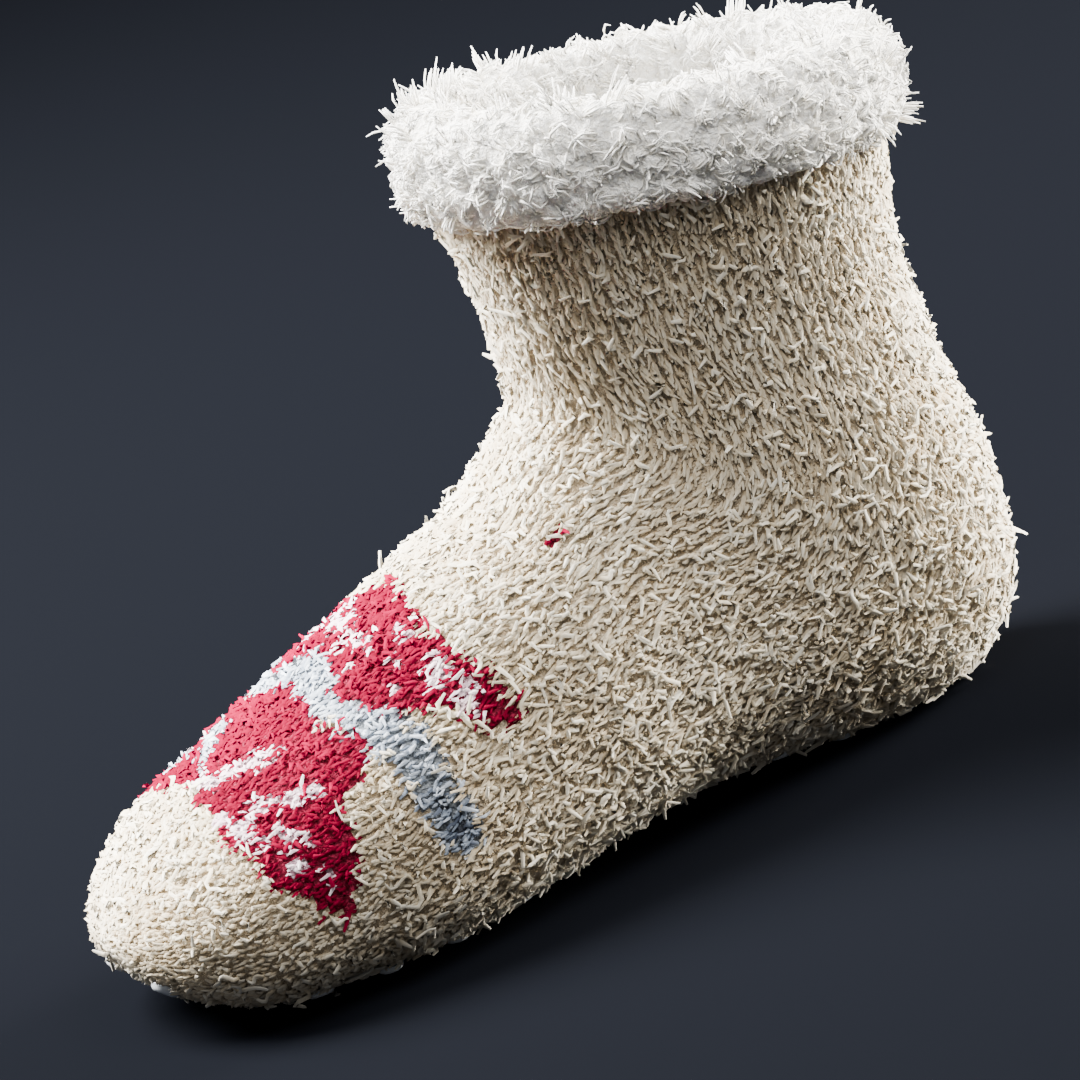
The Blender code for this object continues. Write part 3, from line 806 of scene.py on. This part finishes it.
def locks(grid, normals, flow):
    """Longer locks over the cuff's outside and top, of loose strands that bend the same way."""
    row, turn = spread_out(grid[LOCK_RINGS[0]:LOCK_RINGS[1]], LOCKS)
    row = row + LOCK_RINGS[0]
    middle = look_up(grid, row, turn)
    out = unit(look_up(normals, row, turn))
    flowing = flow * CHANCE.uniform(-0.2, 0.9, (LOCKS, 1))
    outward = out * CHANCE.uniform(0.6, 1.0, (LOCKS, 1))
    heading = unit(outward + flowing + CHANCE.normal(0, 0.30, (LOCKS, 3)))
    length = CHANCE.uniform(LOCK_SHORT, LOCK_LONG, (LOCKS, 1))
    curl = CHANCE.uniform(-0.50, 0.50, (LOCKS, 3)) * length
    pick = np.repeat(np.arange(LOCKS), LOCK_STRANDS)
    total = len(pick)
    aside = CHANCE.normal(0, 1, (total, 3))
    stretch = CHANCE.uniform(0.75, 1.1, (total, 1))
    stations = []
    for at, apart, curled in LOCK_STATIONS:
        along = heading[pick] * length[pick] * stretch * at
        stations.append(middle[pick] + along + aside * apart + curl[pick] * curled)
    path = np.stack(stations, axis=1)
    radius = np.stack([np.full(total, r) for r in LOCK_RADII], axis=1)
    tone = 0.66 + 0.10 * CHANCE.normal(0, 1, LOCKS)[pick] + 0.08 * CHANCE.normal(0, 1, total)
    return path, radius, tone


CUFF_AROUND = 360
CUFF_RINGS = 80
CUFF_CLUMPS = 560
CUFF_THICK = 0.0012
CUFF_STRANDS = 14
CUFF_STRAND_RADIUS = 0.00032
CUFF_STRAY = 0.0006
CUFF_GRAIN = 900
CLUMP_WIDE = 0.0036
CLUMP_HIGH = 0.0026


def cuff():
    """The cuff's ground in clumps, its fleece and its locks."""
    shape = np.array(CUFF_SHAPE)
    at = np.concatenate([[0], np.cumsum(np.linalg.norm(np.diff(shape, axis=0), axis=1))])
    wanted = np.linspace(0, at[-1], CUFF_RINGS)
    profile = np.stack([np.interp(wanted, at, shape[:, k]) for k in range(2)], axis=1)
    profile[1:-1] = (profile[:-2] + 2 * profile[1:-1] + profile[2:]) / 4
    grid, rise = collar_grid(profile, CUFF_AROUND)
    normals = grid_normals(grid)
    middle = grid.mean(axis=(0, 1))
    if normals[CUFF_RINGS // 3, 0] @ (grid[CUFF_RINGS // 3, 0] - middle) < 0:
        normals = -normals
    places = spread_out(grid, CUFF_CLUMPS)
    puffed = clumps(grid, normals, places, CLUMP_WIDE, CLUMP_HIGH)
    back = thinned(grid, 8, 6) - thinned(normals, 8, 6) * CUFF_THICK
    ring = wall_mesh("cuff_ground", puffed, back, closed_tip=False)
    # The ground is darker and warmer than the fleece over it, as painted shade under the strands
    white = fabric("cuff_ground", (0.80, 0.77, 0.70), (0.95, 0.945, 0.93), CUFF_GRAIN, bump=0.8)
    new_piece("cuff_ground", ring, white, replaces=("fleece_cuff",))
    fleece = fleece_material("fleece", (0.91, 0.895, 0.855), (0.99, 0.985, 0.965))
    strands = puffs(
        grid, normals, places, CUFF_STRANDS, CLUMP_WIDE, CLUMP_HIGH * 1.15, CUFF_STRAND_RADIUS,
        lean=rise * 0.4, stray=CUFF_STRAY,
    )
    new_piece("cuff_fleece", tufts_mesh("cuff_fleece", *strands), fleece)
    strands = locks(grid, normals, rise)
    new_piece("cuff_locks", tufts_mesh("cuff_locks", *strands), fleece)


LINING_CLUMPS = 600
LINING_RINGS = slice(20, -6)
LINING_STRANDS = 5
LINING_CLUMP_WIDE = 0.0034
LINING_CLUMP_HIGH = 0.0018
LINING_STRAND_RADIUS = 0.00055
LINING_FLOOR = 0.0030


def lining():
    """Short fleece over the inside of the leg and foot."""
    normals = -NORMALS[LINING_RINGS]
    inner = OUTER[LINING_RINGS] + normals * LINING_FACE
    fleece = fleece_material("lining_fleece", (0.72, 0.70, 0.66), (0.88, 0.87, 0.84))
    places = spread_out(inner, LINING_CLUMPS)
    path, radius, tone = puffs(
        inner, normals, places, LINING_STRANDS, LINING_CLUMP_WIDE, LINING_CLUMP_HIGH, LINING_STRAND_RADIUS,
    )
    path[..., 2] = np.maximum(path[..., 2], SOLE_LEVEL + LINING_FLOOR)
    new_piece("lining_fleece", tufts_mesh("lining_fleece", path, radius, tone), fleece)


# A dot's outline: shares of its radius and of its height
DOT_PROFILE = (
    (1.000, 0.00), (1.000, 0.16), (0.985, 0.34), (0.945, 0.54), (0.870, 0.74), (0.760, 0.90), (0.620, 0.985),
    (0.500, 1.0),
)
DOT_SIDES = 24
DOT_SHARP = 50
DOT_GRAIN = 160
DOT_NAMES = sorted(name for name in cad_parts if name.startswith("grip_dot"))


def dot_place(mesh):
    """A dot's solid: its middle, outward axis, reach back and out along that, and radius."""
    co = np.empty(len(mesh.vertices) * 3)
    mesh.vertices.foreach_get("co", co)
    co = np.unique(np.round(co.reshape(-1, 3), 7), axis=0)
    middle = co.mean(axis=0)
    axis = np.linalg.svd(co - middle)[2][2]
    height = (co - middle) @ axis
    across = np.linalg.norm((co - middle) - height[:, None] * axis, axis=1)
    # A dot is widest where it sits on the knit
    if across[height < np.median(height)].max() < across[height > np.median(height)].max():
        axis, height = -axis, -height
    return middle, axis, height.min(), height.max(), across.max()


def dots():
    """The silicone dots: smooth domes where the solids are, each pressed flat on top."""
    verts, faces = [], []
    for name in DOT_NAMES:
        middle, axis, low, high, radius = dot_place(bpy.data.objects[name].data)
        side = np.cross(axis, [1, 0, 0] if abs(axis[0]) < 0.9 else [0, 1, 0])
        side /= np.linalg.norm(side)
        other = np.cross(axis, side)
        turn = np.arange(DOT_SIDES) * 2 * np.pi / DOT_SIDES
        first = len(verts)
        for out, up in DOT_PROFILE:
            centre = middle + axis * (low + (high - low) * up)
            for a in turn:
                verts.append(centre + (side * math.cos(a) + other * math.sin(a)) * radius * out)
        for j in range(len(DOT_PROFILE) - 1):
            for k in range(DOT_SIDES):
                a, b = first + j * DOT_SIDES + k, first + j * DOT_SIDES + (k + 1) % DOT_SIDES
                faces.append((a, b, b + DOT_SIDES, a + DOT_SIDES))
        faces.append(tuple(first + k for k in range(DOT_SIDES))[::-1])
        last = first + (len(DOT_PROFILE) - 1) * DOT_SIDES
        faces.append(tuple(last + k for k in range(DOT_SIDES)))
    mesh = bpy.data.meshes.new("grip_dots")
    mesh.from_pydata(verts, [], faces)
    mesh.shade_smooth()
    mesh.set_sharp_from_angle(angle=math.radians(DOT_SHARP))
    paint = fabric("silicone", (0.66, 0.70, 0.75), (0.74, 0.77, 0.81), DOT_GRAIN, bump=0.05, roughness=0.3)
    shader = paint.node_tree.nodes["Principled BSDF"]
    shader.inputs["Specular IOR Level"].default_value = 0.5
    shader.inputs["Coat Weight"].default_value = 0.2
    new_piece("grip_dots", mesh, paint, replaces=DOT_NAMES)


# Dark and light end of each yarn's tone, and the painted shade each tuft is tinted to at its root
COATS = {
    BEIGE: ((0.56, 0.455, 0.305), (0.99, 0.935, 0.79)),
    RED: ((0.14, 0.001, 0.015), (0.31, 0.001, 0.038)),
    PINK: ((0.90, 0.66, 0.74), (0.99, 0.93, 0.95)),
    GREY: ((0.23, 0.275, 0.35), (0.80, 0.87, 0.97)),
    DARK: ((0.05, 0.065, 0.10), (0.17, 0.20, 0.26)),
}
ROOT_SHADES = {
    BEIGE: (0.86, 0.75, 0.58), RED: (0.55, 0.50, 0.50), PINK: (0.80, 0.62, 0.68), GREY: (0.45, 0.48, 0.52),
    DARK: (0.45, 0.45, 0.50),
}
PILE_TUFTS = 56000
TUFT_LENGTH = 0.0031
TUFT_RADIUS = 0.00043
FLECKS = 0.15
TUFT_LIMITS = (0.0013, 0.0052)
TUFT_TAPER = (1.12, 0.58)
TUFT_SUNK = 0.0004
WALE_RISE = 0.0004
FLECK_LIFT = 0.0007
LAID_LIFT = 0.0002
FLECK_TONE = 0.42
FLECK_STOUT = 1.25
PILE_FLOOR = 0.0009
BEIGE_PARTS = ("toe", "arch", "heel", "leg")
STRAY_CURLS = 850
CURL_LENGTH = 0.0050
CURL_LIMITS = (0.0028, 0.0105)
CURL_RADIUS = 0.00050
# Share of the length and of the lift at each station, and share of the radius at each but the first
CURL_STATIONS = ((0.0, 0.0), (0.17, 0.8), (0.34, 1.1), (0.51, 1.2), (0.68, 1.2), (0.84, 1.1), (1.0, 0.8))
CURL_TAPER = (0.9, 1.1, 1.1, 1.0, 0.9, 0.6)
TIP_CLEAR = 0.010
PILE_DOT_MARGIN = 0.0004
CURL_DOT_MARGIN = 0.002
# Where the pile is shaggy, by height, and where the toe begins, in metres along the sock
SHAGGY_BELOW = 0.088
SHAGGY_FADE = 0.055
TOE_SMOOTH_FROM = 0.035
TOE_SHORT_FROM = 0.030
TOE_FADE = 0.05


def place_on_knit(count):
    """Spread places on the knit: ring, round place, offset in the wale, half, point and three directions."""
    row, turn = scatter(OUTER, count)
    lane = np.floor(turn * WALES) + 0.5
    shaggy = shagginess(look_up(OUTER, row, turn))
    # Each stitch is a V, so a wale has two columns of tufts
    half = np.where(CHANCE.random(count) < 0.5, -0.25, 0.25)
    off = half + CHANCE.normal(0, 1, count) * (0.05 + 0.05 * shaggy)
    turn = (lane + np.clip(off, -0.5, 0.5)) / WALES
    point = look_up(OUTER, row, turn)
    out = unit(look_up(NORMALS, row, turn))
    along = unit(look_up(ALONG, row, turn))
    return row, turn, off, half, point, out, along, np.cross(out, along)


def clear_of_dots(point, margin):
    """Which of these places lie off the grip dots, as the dots press the pile flat."""
    clear = np.ones(len(point), bool)
    for name in DOT_NAMES:
        low, high = np.array(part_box(name))
        clear &= np.linalg.norm(point - (low + high) / 2, axis=1) > (high - low).max() / 2 + margin
    return clear


def shagginess(point):
    """From near 0, where the pile lies smooth along the wales, to 1 low on the heel, where it is curly."""
    low = np.clip((SHAGGY_BELOW - point[:, 2]) / SHAGGY_FADE, 0, 1)
    toe = np.clip((point[:, 0] - TOE_SMOOTH_FROM) / TOE_FADE, 0, 1)
    return 0.15 + 0.85 * low * (1 - 0.72 * toe)


def tuft_forms(off, half, point, out, along, side, shaggy):
    """Paths and radii of the tufts, and which are flecks, worn up to curl pale over the laid ones."""
    count = len(point)
    toe = np.clip((point[:, 0] - TOE_SHORT_FROM) / TOE_FADE, 0, 1)
    fleck = CHANCE.random(count) < 0.05 + FLECKS * shaggy
    aim = CHANCE.uniform(0, 2 * np.pi, count)[:, None]
    laid = (
        -along * CHANCE.normal(1.0, 0.15, count)[:, None]
        + side * (CHANCE.normal(0, 0.12 + 0.14 * shaggy) - 0.6 * half)[:, None]
        + out * CHANCE.uniform(0.02, 0.22 + 0.20 * shaggy)[:, None]
    )
    worn = np.cos(aim) * along + np.sin(aim) * side + out * CHANCE.uniform(0.15, 0.75, count)[:, None]
    heading = unit(np.where(fleck[:, None], worn, laid))
    length = (CHANCE.lognormal(0, 0.24, count) * TUFT_LENGTH * (1 - 0.32 * toe))[:, None]
    length = np.clip(length, *TUFT_LIMITS)
    bend = np.where(fleck, 0.50, 0.19 + 0.10 * shaggy)[:, None]
    curl = unit(CHANCE.normal(0, 1, (count, 3)) - out * 0.5) * length * bend
    root = point + WALE_RISE * np.cos(off * np.pi)[:, None] * out
    path = np.stack([
        root - out * TUFT_SUNK,
        root + heading * length * 0.42 + out * np.where(fleck, FLECK_LIFT, LAID_LIFT)[:, None],
        root + heading * length * 0.95 + curl,
    ], axis=1)
    path[..., 2] = np.maximum(path[..., 2], PILE_FLOOR)
    radius = np.stack([np.full(count, TUFT_RADIUS * share) for share in TUFT_TAPER], axis=1)
    radius *= (CHANCE.uniform(0.8, 1.2, count) * np.where(fleck, FLECK_STOUT, 1.0))[:, None]
    return path, radius, fleck


def tuft_tones(turn, off, point, shaggy, fleck):
    """Tones of the tufts: lighter along the middle of each column as a painted highlight and darker between
    columns as painted shade, a little different in each wale, and darker as painted shade where the pile is
    shaggy low down.
    """
    wale_tone = np.random.default_rng(5).normal(0, 1, WALES)[np.floor(turn * WALES).astype(int) % WALES]
    tone = 0.38 + 0.11 * CHANCE.normal(0, 1, len(point)) + 0.10 * patch_noise(point, 0.03, seed=3)
    # The cosine term paints highlight on each column's middle and shade between columns; the shaggy term
    # paints shade low on the side and heel
    tone += 0.14 * np.cos((np.abs(off) - 0.22) * 2 * np.pi) - 0.07 + 0.05 * wale_tone - 0.17 * shaggy
    return np.where(fleck, tone + FLECK_TONE, tone)


def body_pile():
    """The knit's pile, in a piece for each yarn and four for the beige one."""
    places = place_on_knit(PILE_TUFTS)
    clear = clear_of_dots(places[4], PILE_DOT_MARGIN)
    row, turn, off, half, point, out, along, side = (values[clear] for values in places)
    count = len(row)
    shaggy = shagginess(point)
    path, radius, fleck = tuft_forms(off, half, point, out, along, side, shaggy)
    tone = tuft_tones(turn, off, point, shaggy, fleck)
    # The yarns stray over the pattern's edges, and the dark end is mottled
    colour = pattern(row + CHANCE.normal(0, 0.30, count), turn + CHANCE.normal(0, 0.40, count) / WALES)
    colour[(colour == DARK) & (CHANCE.random(count) < 0.35)] = GREY
    tone = np.where(colour == GREY, tone + CHANCE.normal(0, 0.22, count), tone)
    for kind, (dark, light) in COATS.items():
        name = "pile_" + kind.lower()
        mine = np.where(colour == kind)[0]
        # The reds have no sheen, which would wash them out
        sheen, shine = (0.0, 0.02) if kind == RED else (0.12, 0.2)
        material = tuft_material(name, dark, light, ROOT_SHADES[kind], sheen=sheen, shine=shine)
        if kind == BEIGE:
            # The beige pile is kept in parts from the toe's tip to the collar
            cuts = np.array_split(mine[np.argsort(row[mine])], len(BEIGE_PARTS))
            parts = [(f"{name}_{part}", cut) for part, cut in zip(BEIGE_PARTS, cuts)]
        else:
            parts = [(name, mine)]
        for label, chosen in parts:
            tufts = tufts_mesh(label, path[chosen], radius[chosen], tone[chosen], out[chosen])
            new_piece(label, tufts, material)
        if kind == BEIGE:
            stray_curls(material)


def stray_curls(material):
    """Longer loose curls that lie over the beige pile."""
    row, turn, _, _, point, out, along, side = place_on_knit(STRAY_CURLS * 2)
    wanted = CHANCE.random(len(row)) < 0.25 + 0.55 * shagginess(point)
    off_tip = point[:, 0] < OUTER[..., 0].max() - TIP_CLEAR
    keep = (pattern(row, turn) == BEIGE) & wanted & off_tip & clear_of_dots(point, CURL_DOT_MARGIN)
    point, out, along, side = point[keep], out[keep], along[keep], side[keep]
    count = len(point)
    aim = CHANCE.uniform(0, 2 * np.pi, count)[:, None]
    heading = unit(np.cos(aim) * along + np.sin(aim) * side)
    across = np.cross(out, heading)
    length = np.clip(CHANCE.lognormal(np.log(CURL_LENGTH), 0.42, count), *CURL_LIMITS)[:, None]
    lift = CHANCE.uniform(0.0007, 0.0016, count)[:, None]
    phase = CHANCE.uniform(0, 2 * np.pi, count)[:, None]
    waves = CHANCE.uniform(0.7, 1.5, count)[:, None] * 2 * np.pi
    sway = CHANCE.uniform(0.12, 0.26, count)[:, None] * length
    stations = []
    for at, up in CURL_STATIONS:
        shift = sway * (np.sin(phase + waves * at) - np.sin(phase))
        stations.append(point + heading * length * at + across * shift + out * lift * up)
    path = np.stack(stations, axis=1)
    path[..., 2] = np.maximum(path[..., 2], PILE_FLOOR)
    radius = np.stack([np.full(count, CURL_RADIUS * share) for share in CURL_TAPER], axis=1)
    radius *= CHANCE.uniform(0.7, 1.3, count)[:, None]
    tone = 0.84 + 0.10 * CHANCE.normal(0, 1, count)
    new_piece("pile_curls", tufts_mesh("pile_curls", path, radius, tone, out), material)


add_studio()
knit_ground()
lining_ground()
body_pile()
cuff()
lining()
dots()
